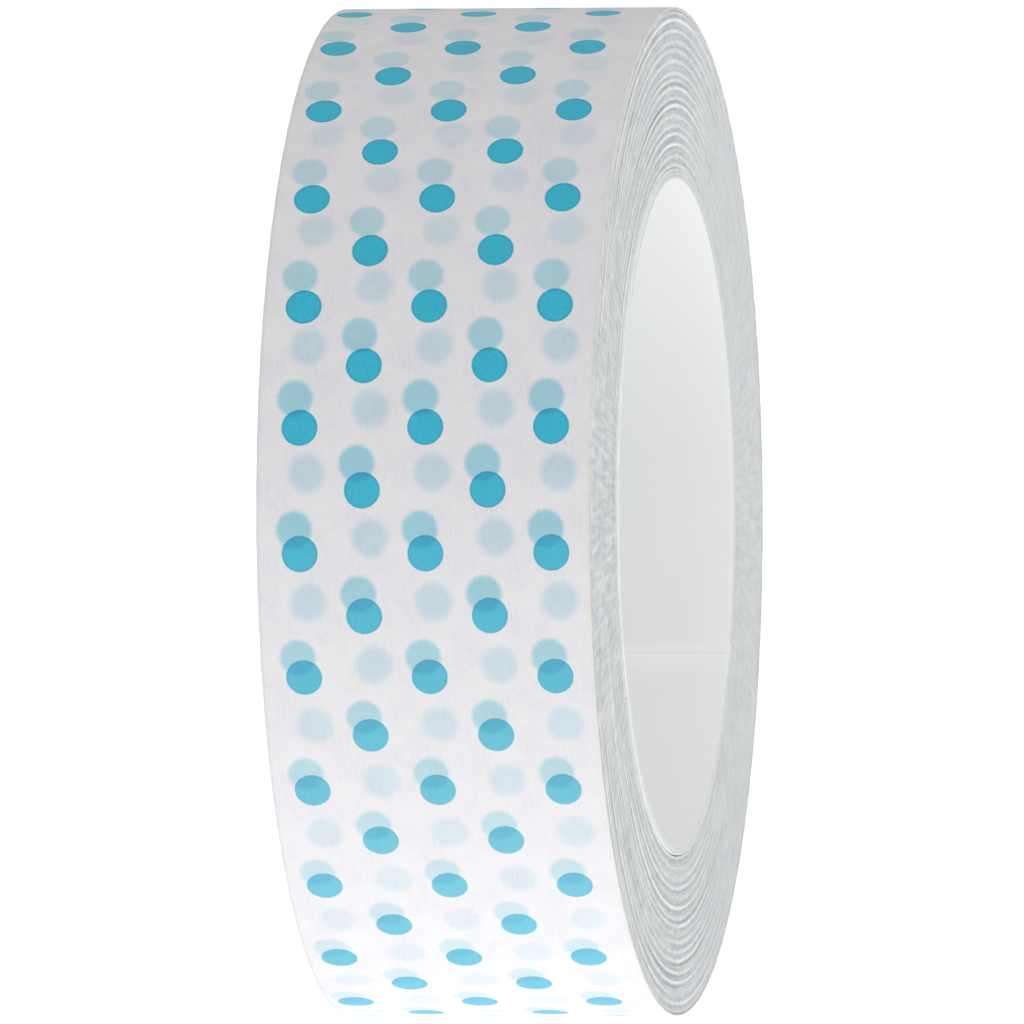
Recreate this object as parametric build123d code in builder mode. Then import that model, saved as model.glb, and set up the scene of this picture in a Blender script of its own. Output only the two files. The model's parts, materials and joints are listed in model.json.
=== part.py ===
"""A roll of narrow decorative paper tape on a thin card core, standing on its tread.

Frame: the origin is the middle of the core's bore, +Y runs along the roll's axis and +Z is up.
A winding angle starts at +X and grows towards +Z, the way the tape runs from the core outwards.

The core is three sheets of card bent round into a tube, each with its own straight joint.
The tape is one long strip wound in a flat spiral. Its inner turns are stuck to each other for good,
so they make one solid. The outer turns are the strip itself, and the end that peels off is cut into
short pieces with a hinge between each, since a strip of paper bends and these solids don't.
All lengths are in millimetres and all angles in degrees.
"""

import os
from math import pi

from build123d import *

# The tape as it is sold, and the roll that it makes.
tape_width = 15.0
strip_thickness = 0.07
roll_diameter = 45.4
turns = 83
outer_turn_count = 3

# The core: sheets of card, with a straight joint where the two edges of each sheet meet.
bore_diameter = 30.0
ply_thickness = 0.15
ply_names = ["core_inner_ply", "core_middle_ply", "core_outer_ply"]
joint_gaps = [1.2, 0.4, 0.4]
joint_angles = [211.5, 91.5, 331.5]

# The free end: where on the last turn it starts, its pieces, and the slit between two pieces.
free_end_start = 110.0
free_end_pieces = 6
piece_angle = 10.0
slit = 0.02

bore_radius = bore_diameter / 2
core_radius = bore_radius + ply_thickness * len(ply_names)
last_turn_radius = roll_diameter / 2 - strip_thickness
pitch = (last_turn_radius - core_radius) / turns
slit_angle = slit / last_turn_radius * 180 / pi


def half_turns(start, end):
    """Split a stretch of winding into the half turns it touches: (number, from, to) for each."""
    number = int(start // 180)
    spans = []
    while number * 180 < end:
        spans.append((number, max(start, number * 180), min(end, (number + 1) * 180)))
        number += 1
    return spans


def arc_centre(number):
    """The spiral is half circles: those above the axis centre on it, the others half a pitch off."""
    return (0, 0) if number % 2 == 0 else (pitch / 2, 0)


def spiral_line(start, end, offset):
    """Draw one face of the strip, a given distance out from its inner face."""
    for number, first, last in half_turns(start, end):
        radius = core_radius + pitch * number / 2 + offset
        CenterArc(arc_centre(number), radius, first % 360, last - first)


def end_line(angle, number):
    """Draw the cut across the strip's thickness, square to its faces."""
    radius = core_radius + pitch * number / 2
    centre = Vector(*arc_centre(number))
    outwards = Vector(1, 0).rotate(Axis.Z, angle)
    Line(centre + outwards * radius, centre + outwards * (radius + strip_thickness))


def strip_outline(start, end):
    """Draw the outline of a stretch of strip from one winding angle to another."""
    spans = half_turns(start, end)
    spiral_line(start, end, 0)
    spiral_line(start, end, strip_thickness)
    end_line(start, spans[0][0])
    end_line(end, spans[-1][0])


def strip_length(start, end):
    """The length of a stretch of strip along the middle of its thickness."""
    total = 0
    for number, first, last in half_turns(start, end):
        total += (core_radius + pitch * number / 2 + strip_thickness / 2) * (last - first) * pi / 180
    return total


os.makedirs("parts", exist_ok=True)

# The three sheets of the core, from the bore outwards.
for index, ply_name in enumerate(ply_names):
    inside = bore_radius + index * ply_thickness
    outside = inside + ply_thickness
    half_gap = joint_gaps[index] / 2 / inside * 180 / pi
    first_edge = joint_angles[index] + half_gap
    wrap = 360 - 2 * half_gap
    with BuildPart() as core_ply:
        with BuildSketch(Plane.XZ):
            with BuildLine():
                inner_face = CenterArc((0, 0), inside, first_edge, wrap)
                outer_face = CenterArc((0, 0), outside, first_edge, wrap)
                Line(inner_face @ 0, outer_face @ 0)
                Line(inner_face @ 1, outer_face @ 1)
            make_face()
        extrude(amount=tape_width / 2, both=True)
    core_ply.part.label = ply_name
    export_step(core_ply.part, f"parts/{ply_name}.step")

# The inner turns, bounded by the spiral's outer face and by the step where the next turn begins.
outer_turns_start = (turns - outer_turn_count) * 360
outer_turns_end = turns * 360 + free_end_start
step_top = core_radius + pitch * (turns - outer_turn_count) + strip_thickness

with BuildPart() as wound_turns:
    with BuildSketch(Plane.XZ):
        with BuildLine():
            spiral_line(outer_turns_start - 360, outer_turns_start, strip_thickness)
            Line((step_top - pitch, 0), (step_top, 0))
        make_face()
        Circle(core_radius, mode=Mode.SUBTRACT)
    extrude(amount=tape_width / 2, both=True)
wound_turns.part.label = "wound_turns"
export_step(wound_turns.part, "parts/wound_turns.step")

# The outer turns of the strip, as far as the free end.
with BuildPart() as outer_turns:
    with BuildSketch(Plane.XZ):
        with BuildLine():
            strip_outline(outer_turns_start, outer_turns_end)
        make_face()
    extrude(amount=tape_width / 2, both=True)
outer_turns.part.label = "outer_turns"
export_step(outer_turns.part, "parts/outer_turns.step")

# The free end, piece by piece towards the tip. Each hinge lies on the strip's outer face.
for index in range(free_end_pieces):
    piece_start = outer_turns_end + index * piece_angle
    piece_end = piece_start + piece_angle
    with BuildPart() as free_end:
        with BuildSketch(Plane.XZ):
            with BuildLine():
                strip_outline(piece_start + slit_angle, piece_end)
            make_face()
        extrude(amount=tape_width / 2, both=True)
    node = f"free_end_{index + 1}"
    free_end.part.label = node
    export_step(free_end.part, f"parts/{node}.step")
    hinge = Vector(roll_diameter / 2, 0).rotate(Axis.Z, free_end_start + index * piece_angle)
    print(f"{node} hinge at x {hinge.X:.4f} z {hinge.Y:.4f}")

tip = outer_turns_end + free_end_pieces * piece_angle
print(f"pitch {pitch:.5f}, gap between turns {pitch - strip_thickness:.5f}")
print(f"strip {strip_length(0, tip) / 1000:.3f} m, free end {strip_length(outer_turns_end, tip):.2f} mm")
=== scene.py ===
"""Looks for a small roll of decorative paper tape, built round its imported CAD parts.

Everything is in the part's own frame and in metres: the origin is the middle of the bore, +Y runs
along the roll's axis and +Z is up. A winding angle starts at +X, grows towards +Z and goes on past
360 degrees, turn after turn, from the core outwards.
"""

import json
import math

import bmesh
import bpy
import numpy as np
from mathutils import Matrix, Vector

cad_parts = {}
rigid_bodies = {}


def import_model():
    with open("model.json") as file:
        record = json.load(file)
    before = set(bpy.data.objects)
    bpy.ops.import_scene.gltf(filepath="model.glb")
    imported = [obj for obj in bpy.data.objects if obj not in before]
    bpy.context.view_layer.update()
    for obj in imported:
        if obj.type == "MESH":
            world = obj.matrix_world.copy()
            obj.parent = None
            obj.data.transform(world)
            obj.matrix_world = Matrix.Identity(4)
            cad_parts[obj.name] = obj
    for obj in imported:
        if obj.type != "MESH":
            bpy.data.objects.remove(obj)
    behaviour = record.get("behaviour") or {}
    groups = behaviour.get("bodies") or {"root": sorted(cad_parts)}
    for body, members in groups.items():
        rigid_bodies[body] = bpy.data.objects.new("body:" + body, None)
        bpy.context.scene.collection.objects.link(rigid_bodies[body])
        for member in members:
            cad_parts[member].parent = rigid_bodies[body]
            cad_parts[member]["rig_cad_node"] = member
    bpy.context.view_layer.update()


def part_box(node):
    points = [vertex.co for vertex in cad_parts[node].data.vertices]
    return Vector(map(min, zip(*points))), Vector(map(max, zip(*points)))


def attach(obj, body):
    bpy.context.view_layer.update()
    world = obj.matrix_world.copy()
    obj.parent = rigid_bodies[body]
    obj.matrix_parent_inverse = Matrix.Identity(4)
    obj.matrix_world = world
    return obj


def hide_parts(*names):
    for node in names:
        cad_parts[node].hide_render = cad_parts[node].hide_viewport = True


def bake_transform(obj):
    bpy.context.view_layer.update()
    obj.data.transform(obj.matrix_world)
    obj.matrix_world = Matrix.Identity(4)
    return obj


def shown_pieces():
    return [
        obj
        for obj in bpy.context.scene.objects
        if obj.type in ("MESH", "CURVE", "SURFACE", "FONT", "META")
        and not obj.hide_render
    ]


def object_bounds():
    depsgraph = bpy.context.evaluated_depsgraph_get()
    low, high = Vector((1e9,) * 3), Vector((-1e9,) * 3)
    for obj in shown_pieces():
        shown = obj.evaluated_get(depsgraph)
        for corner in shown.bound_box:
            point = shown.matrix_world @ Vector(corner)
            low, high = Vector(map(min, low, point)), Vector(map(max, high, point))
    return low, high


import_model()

MM = 0.001
random = np.random.default_rng(11)

# ---------------------------------------------------------------------------------------------
# Sizes, in millimetres and degrees. They are the CAD part's own, apart from the joints of the
# middle and the outer ply, which are nearly closed here.
# ---------------------------------------------------------------------------------------------
HALF_WIDTH = 7.5
STRIP_THICKNESS = 0.07
ROLL_RADIUS = 22.7
BORE_RADIUS = 15.0
PLY_THICKNESS = 0.15
CORE_RADIUS = BORE_RADIUS + 3 * PLY_THICKNESS
TURNS = 83
PITCH = (ROLL_RADIUS - STRIP_THICKNESS - CORE_RADIUS) / TURNS
FREE_END_START = 110.0
FREE_END_PIECES = 6
PIECE_ANGLE = 10.0
LAST_TURN = TURNS * 360  # the winding angle at which the last turn starts
PLIES = {  # ply: (number from the bore outwards, width of its joint, angle of its joint)
    "core_inner_ply": (0, 1.2, 211.5),
    "core_middle_ply": (1, 0.08, 91.5),
    "core_outer_ply": (2, 0.08, 331.5),
}

for node, corner, expected in [
    ("core_outer_ply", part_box("core_outer_ply")[1].x, CORE_RADIUS),
    ("outer_turns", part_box("outer_turns")[1].z, ROLL_RADIUS),
    ("outer_turns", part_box("outer_turns")[1].y, HALF_WIDTH),
]:
    if abs(corner / MM - expected) > 0.1:
        raise SystemExit(f"{node} is not the size that these looks were made for")


def half_turn(winding):
    """The spiral is half circles: each one's number, and the x of its centre."""
    number = np.floor(np.asarray(winding, float) / 180 + 1e-9)
    return number, np.where(number % 2 == 0, 0.0, PITCH / 2)


def strip_point(winding, outwards):
    """x and z of a point that far outwards from the strip's inner face, in millimetres."""
    number, centre = half_turn(winding)
    radius = CORE_RADIUS + PITCH * number / 2 + outwards
    angle = np.radians(winding)
    return centre + radius * np.cos(angle), radius * np.sin(angle)


# ---------------------------------------------------------------------------------------------
# Smooth noise for shapes
# ---------------------------------------------------------------------------------------------
def smooth_curve(length, step, points):
    """A random curve with a new value every step, read at the given points."""
    values = random.normal(size=int(length / step) + 4)
    position = np.clip(np.asarray(points, float) / step, 0, len(values) - 2.001)
    first = position.astype(int)
    share = position - first
    share = share * share * (3 - 2 * share)
    return values[first] * (1 - share) + values[first + 1] * share


def ring_curve(angle, waves, falloff=0.6):
    """A random curve that closes on itself round the ring."""
    total = np.zeros_like(angle)
    for wave in range(1, waves + 1):
        a, b = random.normal(size=2) / wave**falloff
        total += a * np.cos(wave * angle) + b * np.sin(wave * angle)
    return total / max(np.std(total), 1e-9)


# ---------------------------------------------------------------------------------------------
# Mesh helpers
# ---------------------------------------------------------------------------------------------
def make_piece(name, points, faces, materials, face_materials=None, sharp=math.radians(35)):
    """A mesh object from points in millimetres, with smooth shading between its sharp edges."""
    mesh = bpy.data.meshes.new(name)
    mesh.from_pydata((np.asarray(points, float) * MM).tolist(), [], faces)
    for material in materials:
        mesh.materials.append(material)
    if face_materials is not None:
        mesh.polygons.foreach_set("material_index", np.asarray(face_materials, np.int32))
    mesh.polygons.foreach_set("use_smooth", np.ones(len(mesh.polygons), bool))
    mesh.update()
    shape = bmesh.new()
    shape.from_mesh(mesh)
    for edge in shape.edges:
        if len(edge.link_faces) == 2 and edge.calc_face_angle(0) > sharp:
            edge.smooth = False
    shape.to_mesh(mesh)
    shape.free()
    piece = bpy.data.objects.new(name, mesh)
    bpy.context.scene.collection.objects.link(piece)
    return piece


def give_numbers(piece, name, values):
    """A number at each point, for the materials to read."""
    attribute = piece.data.attributes.new(name, "FLOAT", "POINT")
    attribute.data.foreach_set("value", np.asarray(values, np.float32).ravel())


def give_vectors(piece, name, values):
    """A vector at each point, for the materials to read."""
    attribute = piece.data.attributes.new(name, "FLOAT_VECTOR", "POINT")
    attribute.data.foreach_set("vector", np.asarray(values, np.float32).ravel())


RING_RADIUS = 19.0  # about the middle of the side faces


def ring_coordinates(points):
    """Coordinates for noise: the first two run round the roll with no seam, the third outwards."""
    x, y, z = points.T
    radius = np.hypot(x, z)
    return np.stack([x / radius * RING_RADIUS, z / radius * RING_RADIUS, radius + y * 0.35], -1)


# ---------------------------------------------------------------------------------------------
# Material helper
# ---------------------------------------------------------------------------------------------
class Paint:
    """Builds one procedural material out of nodes."""

    def __init__(self, name, roughness, specular):
        self.material = bpy.data.materials.new(name)
        self.material.use_nodes = True
        self.tree = self.material.node_tree
        self.shader = self.tree.nodes["Principled BSDF"]
        self.shader.inputs["Roughness"].default_value = roughness
        self.shader.inputs["Specular IOR Level"].default_value = specular

    def node(self, kind, inputs=(), **settings):
        """A node with its settings, and its inputs either linked or given a value."""
        made = self.tree.nodes.new(kind)
        for key, value in settings.items():
            setattr(made, key, value)
        for key, value in dict(inputs).items():
            if isinstance(value, bpy.types.NodeSocket):
                self.tree.links.new(value, made.inputs[key])
            else:
                made.inputs[key].default_value = value
        return made

    def math(self, operation, *values):
        return self.node("ShaderNodeMath", enumerate(values), operation=operation).outputs[0]

    def attribute(self, name, output="Fac"):
        return self.node("ShaderNodeAttribute", attribute_name=name).outputs[output]

    def scaled(self, vector, scale):
        inputs = {0: vector, 1: scale}
        return self.node("ShaderNodeVectorMath", inputs, operation="MULTIPLY").outputs[0]

    def noise(self, vector, scale, detail=2.0, roughness=0.5, distortion=0.0):
        inputs = {
            "Vector": vector,
            "Scale": scale,
            "Detail": detail,
            "Roughness": roughness,
            "Distortion": distortion,
        }
        return self.node("ShaderNodeTexNoise", inputs).outputs["Fac"]

    def ramp(self, value, stops):
        made = self.node("ShaderNodeValToRGB", {"Fac": value})
        while len(made.color_ramp.elements) < len(stops):
            made.color_ramp.elements.new(0.5)
        for element, (position, colour) in zip(made.color_ramp.elements, stops):
            element.position = position
            element.color = (*colour, 1)
        return made.outputs["Color"]

    def span(self, value, low, high, to_low=0.0, to_high=1.0, smooth=True):
        """The stretch from low to high carried over to another one, with its ends held."""
        inputs = {"Value": value, "From Min": low, "From Max": high}
        inputs.update({"To Min": to_low, "To Max": to_high})
        kind = "SMOOTHSTEP" if smooth else "LINEAR"
        return self.node("ShaderNodeMapRange", inputs, interpolation_type=kind).outputs["Result"]

    def swing(self, value, amount):
        """A noise value as a push of up to that amount either way."""
        return self.span(value, 0.3, 0.7, -amount, amount, smooth=False)

    def mix(self, share, a, b, blend="MIX"):
        made = self.node("ShaderNodeMix", data_type="RGBA", blend_type=blend)
        for key, value in ((0, share), (6, a), (7, b)):  # the sockets of a colour mix
            if isinstance(value, bpy.types.NodeSocket):
                self.tree.links.new(value, made.inputs[key])
            else:
                made.inputs[key].default_value = value if key == 0 else (*value, 1)
        return made.outputs[2]

    def bump(self, height, distance, strength=1.0, under=None):
        inputs = {"Height": height, "Distance": distance * MM, "Strength": strength}
        if under is not None:
            inputs["Normal"] = under
        return self.node("ShaderNodeBump", inputs).outputs["Normal"]

    def finish(self, colour, normal):
        self.tree.links.new(colour, self.shader.inputs["Base Color"])
        self.tree.links.new(normal, self.shader.inputs["Normal"])
        return self.material


# ---------------------------------------------------------------------------------------------
# The print: a staggered grid of dots, in millimetres along and across the strip
# ---------------------------------------------------------------------------------------------
ROW_GAP = 2.808
COLUMN_GAP = 2.8305
DOT_RADIUS = 0.812
FIRST_ROW = -0.191
ROW_SLANT = 0.0038  # how far a row runs out of square, for each millimetre across
MIDDLE_COLUMN = -0.926  # where across the strip the middle column lies, before it drifts
COLUMN_SWAY = 0.026  # how far the columns lie to one side at the top and the other at the bottom
COLUMN_PULL = 1.035  # how far they lie over towards +Y at the front of the roll
LAST_COLUMN = 2.5  # the print stops halfway between two columns


def print_coordinates(winding, across):
    """Where a point of the strip lies on the print, counted in rows and columns of dots."""
    angle = np.radians(np.asarray(winding, float) - LAST_TURN)
    along = ROLL_RADIUS * angle - FIRST_ROW - ROW_SLANT * across
    drift = COLUMN_SWAY * np.sin(angle) - COLUMN_PULL * np.maximum(np.cos(angle), 0)
    return along / ROW_GAP, (across - MIDDLE_COLUMN + drift) / COLUMN_GAP


def dots(paint, rows, columns, side, radius, softness, ragged):
    """1 inside the dots and 0 outside them, with the grid moved sideways."""
    column = paint.math("SUBTRACT", columns, side / COLUMN_GAP)
    first = paint.math("MULTIPLY", paint.math("ADD", column, rows), 0.5)
    second = paint.math("MULTIPLY", paint.math("SUBTRACT", column, rows), 0.5)
    first = paint.math("SUBTRACT", first, paint.math("ROUND", first))
    second = paint.math("SUBTRACT", second, paint.math("ROUND", second))
    across = paint.math("MULTIPLY", paint.math("ADD", first, second), COLUMN_GAP)
    onwards = paint.math("MULTIPLY", paint.math("SUBTRACT", first, second), ROW_GAP)
    distance = paint.math(
        "SQRT",
        paint.math("ADD", paint.math("POWER", across, 2), paint.math("POWER", onwards, 2)),
    )
    distance = paint.math("ADD", distance, ragged)
    inside = paint.span(distance, radius + softness, radius - softness)
    printed = paint.math("LESS_THAN", paint.math("ABSOLUTE", column), LAST_COLUMN)
    return paint.math("MULTIPLY", inside, printed)


def printed_paper(name, seen_from_behind=False):
    """Translucent printed paper. Two deeper turns of dots show through its face."""
    paint = Paint(name, roughness=0.28 if seen_from_behind else 0.42, specular=0.9)
    place = paint.node("ShaderNodeUVMap", uv_map="print").outputs["UV"]
    split = paint.node("ShaderNodeSeparateXYZ", {0: place})
    rows, columns = split.outputs["X"], split.outputs["Y"]
    size = paint.scaled(place, (ROW_GAP, COLUMN_GAP, 1))  # back to millimetres
    cloud = paint.noise(size, 0.55, 3.0, 0.55)
    grain = paint.noise(size, 7.0, 3.0, 0.65)
    fibre = paint.noise(paint.scaled(size, (1.0, 5.0, 1)), 2.2, 4.0, 0.6, 1.2)
    ragged = paint.span(grain, 0.25, 0.75, -0.013, 0.013, smooth=False)
    soft_ragged = paint.span(grain, 0.25, 0.75, -0.05, 0.05, smooth=False)

    thin, thick, fibres = (0.845, 0.838, 0.885), (0.92, 0.915, 0.945), (0.935, 0.93, 0.945)
    paper = paint.mix(paint.span(cloud, 0.3, 0.7), thin, thick)
    paper = paint.mix(paint.span(fibre, 0.35, 0.72), paper, fibres)
    if seen_from_behind:
        own = dots(paint, rows, columns, 0, DOT_RADIUS, 0.09, soft_ragged)
        colour = paint.mix(paint.math("MULTIPLY", own, 0.75), paper, (0.42, 0.70, 0.80))
    else:
        colour = deeper_dots(paint, paper, rows, columns, grain, soft_ragged)
        colour = top_dots(paint, colour, rows, columns, grain, ragged)
        across = paint.attribute("across")
        right = paint.span(across, HALF_WIDTH - 0.22, HALF_WIDTH - 0.04)
        right = paint.math("MULTIPLY", right, 0.5)
        left = paint.span(across, 0.18 - HALF_WIDTH, 0.04 - HALF_WIDTH)
        left = paint.math("MULTIPLY", left, 0.35)
        colour = paint.mix(right, colour, (0.90, 0.85, 0.70))  # a yellowish line
        colour = paint.mix(left, colour, (0.62, 0.62, 0.68))  # a greyish one
    bump = paint.bump(fibre, 0.006, 0.5)
    bump = paint.bump(grain, 0.004, 0.4, bump)
    return paint.finish(colour, bump)


def deeper_dots(paint, paper, rows, columns, grain, ragged):
    """The dots of the two turns below, paler the deeper they lie."""
    shown = paint.attribute("see_through")
    mottled = paint.math("MULTIPLY", shown, paint.span(grain, 0.25, 0.75, 0.72, 1.0))
    colour = paper
    for shift, side, radius, softness, share, tint in (
        ("deepest_shift", 0.33, 0.82, 0.26, mottled, (0.64, 0.845, 0.92)),
        ("deeper_shift", -0.24, 0.80, 0.14, shown, (0.40, 0.77, 0.865)),
    ):
        shifted = paint.math("SUBTRACT", rows, paint.attribute(shift))
        found = dots(paint, shifted, columns, side, radius, softness, ragged)
        colour = paint.mix(paint.math("MULTIPLY", found, share), colour, tint, "MULTIPLY")
    return colour


def top_dots(paint, under, rows, columns, grain, ragged):
    """The strip's own dots with darker rims, and a painted reflection paling the ink below the
    front.
    """
    dot = dots(paint, rows, columns, 0, DOT_RADIUS, 0.03, ragged)
    inside = dots(paint, rows, columns, 0, DOT_RADIUS - 0.09, 0.05, ragged)
    ink = paint.mix(paint.span(grain, 0.3, 0.7), (0.004, 0.56, 0.76), (0.030, 0.62, 0.82))
    ink = paint.mix(paint.math("SUBTRACT", 1.0, inside), ink, (0.0, 0.50, 0.70))
    # painted reflection: the ink is lighter where the lower front of the roll faces the bright
    # floor
    ink = paint.mix(paint.attribute("painted_floor_sheen"), ink, (0.15, 0.64, 0.79))
    return paint.mix(dot, under, ink, "MULTIPLY")


def strip_edge_paper():
    """The stacked cut edges of the strip: fine lines round the roll, frayed specks, and painted
    light and shade on the relief.
    """
    paint = Paint("tape_side", roughness=0.62, specular=0.35)
    place = paint.attribute("ring", "Vector")
    tone_and_painted_shading = paint.attribute("tone_and_painted_shading")
    rough = paint.attribute("rough")
    frays = paint.attribute("frays")
    cloud = paint.noise(place, 0.35, 3.0, 0.55)
    speckle = paint.noise(paint.scaled(place, (0.65, 0.65, 3.0)), 1.7, 3.0, 0.7)
    dust = paint.noise(place, 4.0, 2.0, 0.6)
    frayed = paint.noise(paint.scaled(place, (0.8, 0.8, 0.16)), 4.2, 1.0, 0.5)
    lines = paint.math("SUBTRACT", 1.0, frays)
    lines = paint.math("MULTIPLY", paint.swing(speckle, 0.22), lines)
    specks = paint.math("MULTIPLY", paint.swing(frayed, 0.17), frays)
    uneven = paint.math("ADD", lines, specks)
    uneven = paint.math("ADD", uneven, paint.swing(dust, 0.05))
    value = paint.math("ADD", tone_and_painted_shading, paint.math("MULTIPLY", uneven, rough))
    value = paint.math("ADD", value, paint.swing(cloud, 0.05))
    # from painted shade in the grooves and beside the core to painted light on the proud turns
    colour = paint.ramp(
        value,
        [
            (0.0, (0.355, 0.37, 0.385)),
            (0.3, (0.53, 0.552, 0.565)),
            (0.5, (0.632, 0.655, 0.665)),
            (0.7, (0.73, 0.748, 0.755)),
            (1.0, (0.93, 0.937, 0.935)),
        ],
    )
    bump = paint.bump(speckle, 0.02, 0.5)
    bump = paint.bump(dust, 0.008, 0.4, bump)
    return paint.finish(colour, bump)


def core_card():
    """Pale card: smooth faces, greyer and rougher rims, whiter fresh cuts, and painted light and
    highlights.
    """
    paint = Paint("core_card", roughness=0.45, specular=0.4)
    place = paint.attribute("ring", "Vector")
    rim = paint.attribute("rim")
    cloud = paint.noise(place, 0.22, 2.0, 0.5)
    grain = paint.noise(place, 4.0, 3.0, 0.6)
    dull, clear, grainy = (0.835, 0.868, 0.855), (0.862, 0.885, 0.877), (0.877, 0.897, 0.887)
    face = paint.mix(paint.span(cloud, 0.3, 0.7), dull, clear)
    face = paint.mix(paint.span(grain, 0.3, 0.8, 0, 0.5), face, grainy)
    # painted light towards the open +Y side and the bottom of the bore
    face = paint.mix(paint.attribute("painted_bore_light"), face, (0.955, 0.955, 0.95))
    cut = paint.mix(paint.span(grain, 0.3, 0.7), (0.60, 0.63, 0.63), (0.70, 0.72, 0.72))
    colour = paint.mix(rim, face, cut)
    # painted highlight on the outer ply's near rims and painted light in the inner ply's joint,
    # with the whiter cut card
    colour = paint.mix(paint.attribute("whiteness_and_painted_highlight"), colour, (0.97, 0.975, 0.97))
    height = paint.math("MULTIPLY", grain, paint.span(rim, 0, 1, 0.12, 1.0))
    return paint.finish(colour, paint.bump(height, 0.02, 0.5))


PRINTED = printed_paper("printed_tape_face")
BEHIND = printed_paper("printed_tape_back", seen_from_behind=True)
STRIP_EDGE = strip_edge_paper()
CARD = core_card()


# ---------------------------------------------------------------------------------------------
# The side faces of the wound tape: every turn's cut edge as relief
# ---------------------------------------------------------------------------------------------
SIDE_COLUMNS = 320
SAMPLES_PER_TURN = 3
SIDE_TURNS = TURNS - 1
SIDE_ROWS = SIDE_TURNS * SAMPLES_PER_TURN - 1  # the last row stops short of the next turn


def crest_field(turn, angle):
    """Lines where a few turns stand proud, each with a groove on both sides."""
    field = np.zeros_like(turn)
    position = 1.6
    while position < SIDE_TURNS + 1:
        shift = 0.35 * ring_curve(angle, 5)
        strength = np.clip(0.85 + 0.35 * ring_curve(angle, 9, 0.3), 0.15, 1.5)
        strength = strength * random.uniform(0.55, 1.15)
        off = turn - position - shift[None, :]
        width = random.uniform(0.65, 1.0)
        crest = np.exp(-((off / width) ** 2))
        outer_groove = np.exp(-(((off - 1.9) / 1.0) ** 2))
        inner_groove = 0.8 * np.exp(-(((off + 1.9) / 0.9) ** 2))
        field += strength[None, :] * (crest - 0.7 * (outer_groove + inner_groove))
        position += random.uniform(3.9, 6.3)
    return field


def side_relief(row, degrees, x, z):
    """How far each point of a side face lies out from the plane, in millimetres, and its looks."""
    angle = np.radians(degrees)
    winding = (row / SAMPLES_PER_TURN) * 360 + degrees[None, :]
    strip_winding = (row // SAMPLES_PER_TURN) * 360 + degrees[None, :]
    turn = (np.hypot(x, z) - CORE_RADIUS) / PITCH
    crests = crest_field(turn, angle)
    wander = smooth_curve(TURNS * 360, 24.0, strip_winding)
    slow = smooth_curve(TURNS * 360, 300.0, winding)
    ridge = np.where(row % SAMPLES_PER_TURN == 0, -1.0, 0.5) + 0 * x
    fine = random.normal(size=x.shape)
    fine = (fine + np.roll(fine, 1, 1)) / 1.4

    near = np.cos(angle)[None, :]  # 1 at the front of the roll, -1 at its back
    upright = np.abs(np.sin(angle))[None, :]  # 1 at the top and the bottom
    rough = 0.85 + 0.25 * near
    bold = 0.35 + 0.65 / (1 + np.exp(-(near + 0.25) / 0.1))  # the crests fade at the back
    crests = crests * (0.2 + 0.8 * upright) * bold
    sunk = np.clip(1 - turn / 9, 0, 1) ** 2 * (0.3 + 0.7 * np.maximum(near, 0))
    # painted shade: darker where the tape meets the core, at the front and the bottom of the roll
    painted_core_shade = np.exp(-turn / 1.2) * np.clip(np.maximum(near, -np.sin(angle)[None, :]), 0.3, 1)

    height = 0.030 * crests + 0.007 * wander + 0.006 * slow + 0.004 * ridge + 0.004 * fine
    height = np.clip(rough * height - 0.034 - 0.12 * sunk, -0.2, 0.0)
    # painted light and shade: lighter on the proud turns, darker in their grooves and next to the
    # core, over the edges' own random variation
    tone_and_painted_shading = 0.46 * crests + 0.05 * wander + 0.03 * ridge + 0.04 * fine
    tone_and_painted_shading = 0.5 + rough * tone_and_painted_shading - 0.45 * painted_core_shade
    frays = (1 - upright) ** 0.8
    looks = {"tone_and_painted_shading": (tone_and_painted_shading, 0.4), "rough": (rough, 1.0), "frays": (frays, 1.0)}
    return height, looks


def cell_index(cell):
    return cell[0] * SIDE_COLUMNS + cell[1]


def side_grid_faces():
    """The quads of a side face, and those where the spiral meets itself, one turn further out."""
    faces = []
    for c in range(SIDE_COLUMNS - 1):
        for r in range(SIDE_ROWS):
            a = r * SIDE_COLUMNS + c
            faces.append((a, a + SIDE_COLUMNS, a + SIDE_COLUMNS + 1, a + 1))
    for r in range(SIDE_ROWS - SAMPLES_PER_TURN):
        a, b = cell_index((r, SIDE_COLUMNS - 1)), cell_index((r + SAMPLES_PER_TURN, 0))
        faces.append((a, a + SIDE_COLUMNS, b + SIDE_COLUMNS, b))
    return faces


def side_rims():
    """The cells round the inner and the outer rim, each with the step of one turn."""
    inner = [(r, 0) for r in range(SAMPLES_PER_TURN, -1, -1)]
    inner += [(0, c) for c in range(1, SIDE_COLUMNS)]
    outer = [(SIDE_ROWS, c) for c in range(SIDE_COLUMNS)]
    outer += [(SIDE_ROWS - k, SIDE_COLUMNS - 1) for k in range(1, SAMPLES_PER_TURN + 1)]
    return inner, outer


def middle_cap_faces(low_in, low_out):
    """The cap in the middle of the width: the low rims joined, with their steps as small fans."""
    faces = []
    step = SAMPLES_PER_TURN
    for k in range(SIDE_COLUMNS - 1):
        a, b = low_in[step + k], low_in[step + k + 1]
        faces.append((a, b, low_out[k + 1], low_out[k]))
    last = low_in[-1]
    tail = [low_out[SIDE_COLUMNS - 1 + k] for k in range(step + 1)]
    faces.append((last, low_in[0], tail[-1]))
    for k in range(step):
        faces.append((last, tail[k + 1], tail[k]))
    for k in range(step):
        faces.append((low_in[k], low_in[k + 1], tail[-1] if k == 0 else low_out[0]))
    faces.append((tail[-1], low_in[1], low_out[0]))
    return faces


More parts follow.
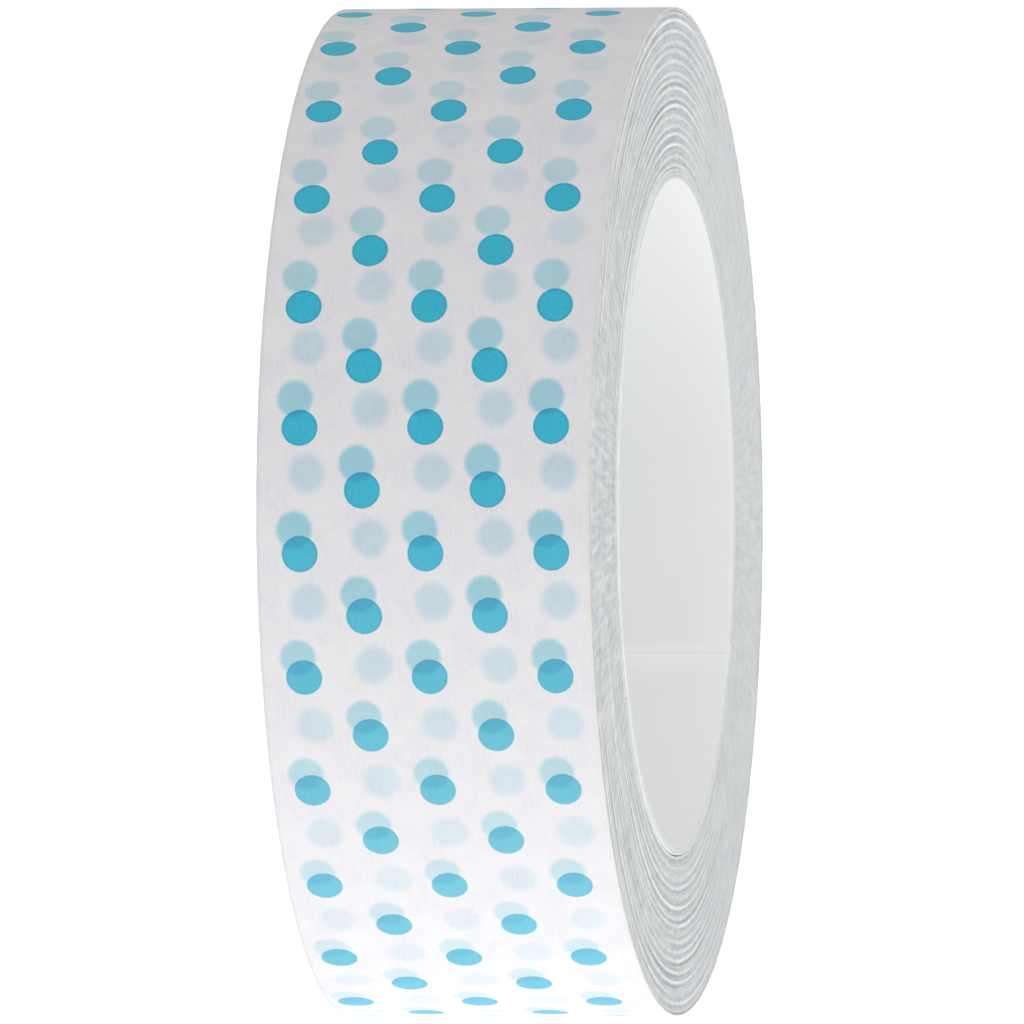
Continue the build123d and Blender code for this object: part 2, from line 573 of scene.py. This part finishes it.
def wound_side(name, side):
    """Half of the wound tape, from the middle of its width to one side face, as a closed mesh."""
    degrees = np.arange(SIDE_COLUMNS) * 360 / SIDE_COLUMNS
    angle = np.radians(degrees)
    number, centre = half_turn(degrees)
    row = np.arange(SIDE_ROWS + 1)[:, None]
    radius = CORE_RADIUS + PITCH * (row / SAMPLES_PER_TURN + number[None, :] / 2)
    x = centre[None, :] + radius * np.cos(angle)[None, :]
    z = radius * np.sin(angle)[None, :]
    height, looks = side_relief(row, degrees, x, z)

    top = np.stack([x, side * (HALF_WIDTH + height), z], -1).reshape(-1, 3)
    faces = side_grid_faces()
    points, base = [top], len(top)
    low_rims = []
    for rim, outwards in zip(side_rims(), (False, True)):
        high = [cell_index(cell) for cell in rim]
        ring = top[high].copy()
        ring[:, 1] = 0
        points.append(ring)
        low = list(range(base, base + len(ring)))
        base += len(ring)
        low_rims.append(low)
        for k in range(len(high)):
            n = (k + 1) % len(high)
            quad = (high[k], high[n], low[n], low[k])
            faces.append(quad[::-1] if outwards else quad)
    faces += middle_cap_faces(*low_rims)
    if side < 0:
        faces = [face[::-1] for face in faces]
    points = np.concatenate(points)
    piece = make_piece(name, points, faces, [STRIP_EDGE], sharp=math.radians(60))
    for attribute, (values, inside_value) in looks.items():
        full = np.full(len(points), inside_value)
        full[: len(top)] = np.broadcast_to(values, x.shape).ravel()
        give_numbers(piece, attribute, full)
    give_vectors(piece, "ring", ring_coordinates(points))
    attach(piece, "roll")
    return piece


right_side = wound_side("tape_wound_right", 1)
left_side = wound_side("tape_wound_left", -1)
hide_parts("wound_turns")
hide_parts("wound_turns")


# ---------------------------------------------------------------------------------------------
# The strip: the last turns and the free end
# ---------------------------------------------------------------------------------------------
ACROSS_STEPS = 20


def strip_faces(count):
    """The faces of a thin solid over a grid: (faces, the material of each)."""
    wide, half = ACROSS_STEPS + 1, count * (ACROSS_STEPS + 1)
    face, back, edge = 0, 1, 2
    faces, kinds = [], []
    for r in range(count - 1):
        for c in range(ACROSS_STEPS):
            a = r * wide + c
            faces.append((a, a + wide, a + wide + 1, a + 1))
            faces.append((half + a, half + a + 1, half + a + wide + 1, half + a + wide))
            kinds += [face, back]
    for r in range(count - 1):
        for c, turn_over in ((0, False), (ACROSS_STEPS, True)):
            a = r * wide + c
            quad = (a, half + a, half + a + wide, a + wide)
            faces.append(quad[::-1] if turn_over else quad)
            kinds.append(edge)
    for c in range(ACROSS_STEPS):
        for r, turn_over in ((0, True), (count - 1, False)):
            a = r * wide + c
            quad = (a, half + a, half + a + 1, a + 1)
            faces.append(quad[::-1] if turn_over else quad)
            kinds.append(edge)
    return [face[::-1] for face in faces], kinds


def give_strip_looks(piece, points, around):
    """What the strip's materials read. around is the angle from the front of the roll."""
    count = len(points)
    for name, value in (("tone_and_painted_shading", 0.56), ("rough", 1.0), ("frays", 0.5)):  # for its cut edges
        give_numbers(piece, name, np.full(count, value))
    give_numbers(piece, "across", points[:, 1])
    give_numbers(piece, "see_through", 0.42 + 0.58 * np.exp(-(((around - 5) / 38) ** 2)))
    # painted reflection of the bright floor, strongest 40 degrees below the front of the roll
    give_numbers(piece, "painted_floor_sheen", np.exp(-(((around + 40) / 28) ** 2)))
    # how far the dots of the turns below lie from the top ones, in millimetres along the strip
    fading = np.cos(np.radians(around / 2))
    deeper = 1.235 + 0.40 * np.tanh((around - 12) / 22) * fading
    deepest = -2.02 + 0.44 * np.tanh((around - 10) / 40) * fading
    give_numbers(piece, "deeper_shift", deeper / ROW_GAP)
    give_numbers(piece, "deepest_shift", deepest / ROW_GAP)
    give_vectors(piece, "ring", ring_coordinates(points))


def strip_piece(name, winding, tip=None):
    """A stretch of the strip as a closed thin solid with slightly ragged long edges."""
    winding = np.asarray(winding, float)
    count = len(winding)
    across = HALF_WIDTH * np.sin(np.linspace(-math.pi / 2, math.pi / 2, ACROSS_STEPS + 1))
    grid_winding = np.repeat(winding[:, None], ACROSS_STEPS + 1, 1)
    if tip is not None:
        grid_winding[-1] += tip(across)
    y = np.repeat(across[None, :], count, 0)
    along = grid_winding * ROLL_RADIUS * math.pi / 180
    ragged = 0.011 - 0.006 * np.sin(along * 3.1 + 1.3) - 0.005 * np.sin(along * 7.7)
    y[:, 0] += ragged[:, 0]
    y[:, -1] -= ragged[:, -1]
    points, places = [], []
    for outwards in (STRIP_THICKNESS, 0.0):
        x, z = strip_point(grid_winding, outwards)
        points.append(np.stack([x, y, z], -1).reshape(-1, 3))
        places.append(np.stack(print_coordinates(grid_winding, y), -1).reshape(-1, 2))
    points, places = np.concatenate(points), np.concatenate(places)
    faces, kinds = strip_faces(count)
    piece = make_piece(name, points, faces, [PRINTED, BEHIND, STRIP_EDGE], kinds)
    layer = piece.data.uv_layers.new(name="print")
    corner = np.zeros(len(piece.data.loops), np.int32)
    piece.data.loops.foreach_get("vertex_index", corner)
    layer.data.foreach_set("uv", places[corner].astype(np.float32).ravel())
    around = (np.tile(grid_winding.ravel(), 2) - LAST_TURN + 180) % 360 - 180
    give_strip_looks(piece, points, around)
    return piece


wound_on = np.linspace(LAST_TURN - 360, LAST_TURN + FREE_END_START, 471)
outer_turn = strip_piece("tape_outer_turn", wound_on)
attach(outer_turn, "roll")
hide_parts("outer_turns")


middles = [FREE_END_START + PIECE_ANGLE * (k + 0.5) for k in range(FREE_END_PIECES)]
starts = [FREE_END_START] + middles[:-1]
ends = middles
for k in range(FREE_END_PIECES):
    winding = LAST_TURN + np.linspace(starts[k], ends[k], 21)
    stretch = strip_piece(f"tape_free_end_{k + 1}", winding)
    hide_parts(f"free_end_{k + 1}")
    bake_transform(stretch)


def cut(across):
    """The cut across the tape's end, in degrees of winding: nearly square and straight."""
    uneven = 0.05 * np.sin(across * 1.7) + 0.03 * np.sin(across * 5.3)
    return -0.12 + 0.02 * across / HALF_WIDTH + uneven


tip_angles = np.linspace(middles[-1], FREE_END_START + FREE_END_PIECES * PIECE_ANGLE, 16)
tip = strip_piece("tape_free_end_tip", LAST_TURN + tip_angles, cut)
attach(tip, f"free_end_{FREE_END_PIECES}")


# ---------------------------------------------------------------------------------------------
# The core: three sheets of card, each bent round with its own joint
# ---------------------------------------------------------------------------------------------
_, shown_gap, shown_joint = PLIES["core_inner_ply"]
SHOWN_JOINT_END = shown_joint + math.degrees(shown_gap / 2 / BORE_RADIUS)  # its lower edge
SOFT = 0.035  # the rounding of a sheet's long edges
CORE_COLUMNS = 240


def ply_section(inside, outside):
    """The outline of a sheet's section: (radius, y, whether it lies on the rim) for each point."""
    profile = []
    for corner_radius, corner_y, start in (
        (inside + SOFT, HALF_WIDTH - SOFT, 180),
        (outside - SOFT, HALF_WIDTH - SOFT, 90),
        (outside - SOFT, -HALF_WIDTH + SOFT, 0),
        (inside + SOFT, -HALF_WIDTH + SOFT, -90),
    ):
        for step in range(4):
            turned = math.radians(start - step * 30)
            r = corner_radius + SOFT * math.cos(turned)
            y = corner_y + SOFT * math.sin(turned)
            rim = 1.0 if abs(y) > HALF_WIDTH - SOFT * 0.6 else 0.0
            profile.append((r, y, rim))
    section = []  # the long faces get points of their own, so that shading stays even
    for k, point in enumerate(profile):
        section.append(point)
        following = profile[(k + 1) % len(profile)]
        if abs(following[1] - point[1]) > 1:
            for share in (0.02, 0.15, 0.5, 0.85, 0.98):
                y = point[1] + (following[1] - point[1]) * share
                section.append((point[0], y, 0.0))
    return section


def ply_columns(number, inside, gap, joint):
    """The angles of a sheet's columns. The inner ply thins out towards both of its ends."""
    half_gap = math.degrees(gap / 2 / inside)
    first, last, edge = joint + half_gap, joint + 360 - half_gap, 0.03
    thinned = (0.8, 1.4) if number == 0 else (edge, edge)
    middle = np.linspace(first + thinned[0] + edge, last - thinned[1] - edge, CORE_COLUMNS)
    return [first, first + thinned[0], *middle, last - thinned[1], last]


def ply_looks(number, r, y, rim, degrees, at_last_end):
    """The numbers that the card material reads at one point: (rim, whiteness and painted
    highlight, painted light in the bore).
    """
    near = max(math.cos(math.radians(degrees)), 0)
    low = max(-math.sin(math.radians(degrees)), 0)
    # painted light: how far the rim is lightened to the face's colour at the front and the bottom
    painted_rim_light = 0.35 * min(1.2 * near + 0.9 * low, 1) if number < 2 else 0.2 * low
    # painted highlight on the outer ply's rims, strongest at the front of the roll
    whiteness_and_painted_highlight = rim * near**0.8 if number == 2 else 0.0
    if number == 2 and r > CORE_RADIUS - SOFT * 0.2:
        whiteness_and_painted_highlight = 1.0  # the wall that the tape was wound on
    elif number == 1 and not rim:  # seen through the inner ply's joint: painted light there, fading downwards
        whiteness_and_painted_highlight = min(max((SHOWN_JOINT_END - degrees % 360) / 4.5, 0.15), 1)
    elif number == 0 and at_last_end:
        # the inner ply's thinned end: partly whiter cut card, partly painted light
        whiteness_and_painted_highlight = 0.9
    # painted light: lighter towards the open +Y side and the bottom of the bore
    painted_bore_light = min(max((y - 2.5) / 5.5, 0), 1) + 0.35 * low
    return rim * (1 - painted_rim_light), whiteness_and_painted_highlight, min(painted_bore_light, 1) * (1 - rim)


def core_ply(node, number, gap, joint):
    """One sheet, with softened and slightly fibrous cut edges."""
    inside = BORE_RADIUS + number * PLY_THICKNESS
    outside = inside + PLY_THICKNESS
    section = ply_section(inside, outside)
    degrees = ply_columns(number, inside, gap, joint)
    angle = np.radians(degrees)
    columns, wide = len(degrees), len(section)
    end_thickness = 0.08 if number == 0 else 1  # as a share of the sheet's own
    points, looks = [], []
    rag = random.normal(size=(columns, wide))
    rag = (rag + np.roll(rag, 1, 0) + np.roll(rag, 1, 1)) / 1.7
    for j in range(columns):
        for k, (r, y, rim) in enumerate(section):
            a = angle[j]
            if j in (0, columns - 1):
                a += 0.003 / inside * rag[j, k] * (1 if j == 0 else -1)
                r = outside - (outside - r) * end_thickness
            depth = 0.007 * abs(rag[j, k]) * rim
            points.append((r * math.cos(a), y - math.copysign(depth, y), r * math.sin(a)))
            at_last_end = j >= columns - 2
            looks.append(ply_looks(number, r, y, rim, math.degrees(a), at_last_end))
    faces = []
    for j in range(columns - 1):
        for k in range(wide):
            n = (k + 1) % wide
            a, b = j * wide, (j + 1) * wide
            faces.append((a + k, a + n, b + n, b + k))
    faces.append(tuple(range(wide))[::-1])
    faces.append(tuple((columns - 1) * wide + k for k in range(wide)))
    name = node.replace("core_", "card_")
    piece = make_piece(name, points, faces, [CARD], sharp=math.radians(50))
    for attribute, values in zip(("rim", "whiteness_and_painted_highlight", "painted_bore_light"), np.transpose(looks)):
        give_numbers(piece, attribute, values)
    give_vectors(piece, "ring", ring_coordinates(np.asarray(points)))
    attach(piece, "roll")
    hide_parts(node)
    return piece


for node, (number, gap, joint) in PLIES.items():
    core_ply(node, number, gap, joint)


# ---------------------------------------------------------------------------------------------
# Closed meshes with their faces turned outwards
# ---------------------------------------------------------------------------------------------
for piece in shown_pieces():
    if "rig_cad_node" in piece:
        continue
    shape = bmesh.new()
    shape.from_mesh(piece.data)
    bmesh.ops.recalc_face_normals(shape, faces=shape.faces)
    open_edges = sum(1 for edge in shape.edges if len(edge.link_faces) != 2)
    volume = shape.calc_volume(signed=True) / MM**3
    print(f"PIECE {piece.name}: {len(shape.faces)} faces, {open_edges} open, {volume:.1f} mm3")
    shape.to_mesh(piece.data)
    shape.free()

# ---------------------------------------------------------------------------------------------
# Floor, light and camera
# ---------------------------------------------------------------------------------------------
floor_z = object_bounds()[0].z
floor_mesh = bpy.data.meshes.new("floor")
reach = 4.0
corners = [(-reach, -reach), (reach, -reach), (reach, reach), (-reach, reach)]
floor_mesh.from_pydata([(x, y, floor_z) for x, y in corners], [], [(0, 1, 2, 3)])
floor = bpy.data.objects.new("floor", floor_mesh)
bpy.context.scene.collection.objects.link(floor)
paint = Paint("floor", roughness=0.9, specular=0.1)
paint.shader.inputs["Base Color"].default_value = (0.25, 0.25, 0.25, 1)
paint.shader.inputs["Emission Color"].default_value = (1, 1, 1, 1)
paint.shader.inputs["Emission Strength"].default_value = 0.935
floor_mesh.materials.append(paint.material)

world = bpy.data.worlds.new("studio")
bpy.context.scene.world = world
world.use_nodes = True
tree = world.node_tree
direction = tree.nodes.new("ShaderNodeTexCoord")
split = tree.nodes.new("ShaderNodeSeparateXYZ")
tree.links.new(direction.outputs["Generated"], split.inputs[0])
height = tree.nodes.new("ShaderNodeMapRange")
height.interpolation_type = "SMOOTHSTEP"
# a little brighter near the horizon
for key, value in {"From Min": 0.0, "From Max": 0.5, "To Min": 0.51, "To Max": 0.45}.items():
    height.inputs[key].default_value = value
tree.links.new(split.outputs["Z"], height.inputs["Value"])
tree.links.new(height.outputs["Result"], tree.nodes["Background"].inputs["Strength"])
tree.nodes["Background"].inputs["Color"].default_value = (1, 1, 1, 1)


def soft_light(name, place, target, size, power):
    lamp = bpy.data.lights.new(name, "AREA")
    lamp.shape = "DISK"
    lamp.size = size
    lamp.energy = power
    made = bpy.data.objects.new(name, lamp)
    bpy.context.scene.collection.objects.link(made)
    made.location = place
    made.rotation_mode = "QUATERNION"
    made.rotation_quaternion = (Vector(target) - Vector(place)).to_track_quat("-Z", "Y")


soft_light("key", (0.10, 0.45, 0.45), (0, 0, 0), 0.25, 1.1)

# The camera looks at the tread, a little to one side of it and from slightly above.
AZIMUTH, ELEVATION, ROLL = (math.radians(value) for value in (100.275, 4, -0.901))
DISTANCE = 1.3
AIM_RIGHT, AIM_UP = -0.0795 * MM, 0.015 * MM  # where it looks, from the origin
LENS = 1015.1  # a long lens, in millimetres for a sensor 36 wide
back = Vector(
    (
        math.sin(AZIMUTH) * math.cos(ELEVATION),
        -math.cos(AZIMUTH) * math.cos(ELEVATION),
        math.sin(ELEVATION),
    )
)
right = (-back).cross(Vector((0, 0, 1))).normalized()
up = right.cross(-back)
right, up = (
    math.cos(ROLL) * right + math.sin(ROLL) * up,
    -math.sin(ROLL) * right + math.cos(ROLL) * up,
)
target = right * AIM_RIGHT + up * AIM_UP
camera_data = bpy.data.cameras.new("camera")
camera_data.sensor_width = 36
camera_data.lens = LENS
camera_data.clip_start, camera_data.clip_end = 0.05, 20
camera = bpy.data.objects.new("camera", camera_data)
bpy.context.scene.collection.objects.link(camera)
camera.matrix_world = Matrix.Translation(target + back * DISTANCE) @ Matrix(
    (right, up, back)
).transposed().to_4x4()
bpy.context.scene.camera = camera
bpy.context.scene.view_settings.view_transform = "Standard"
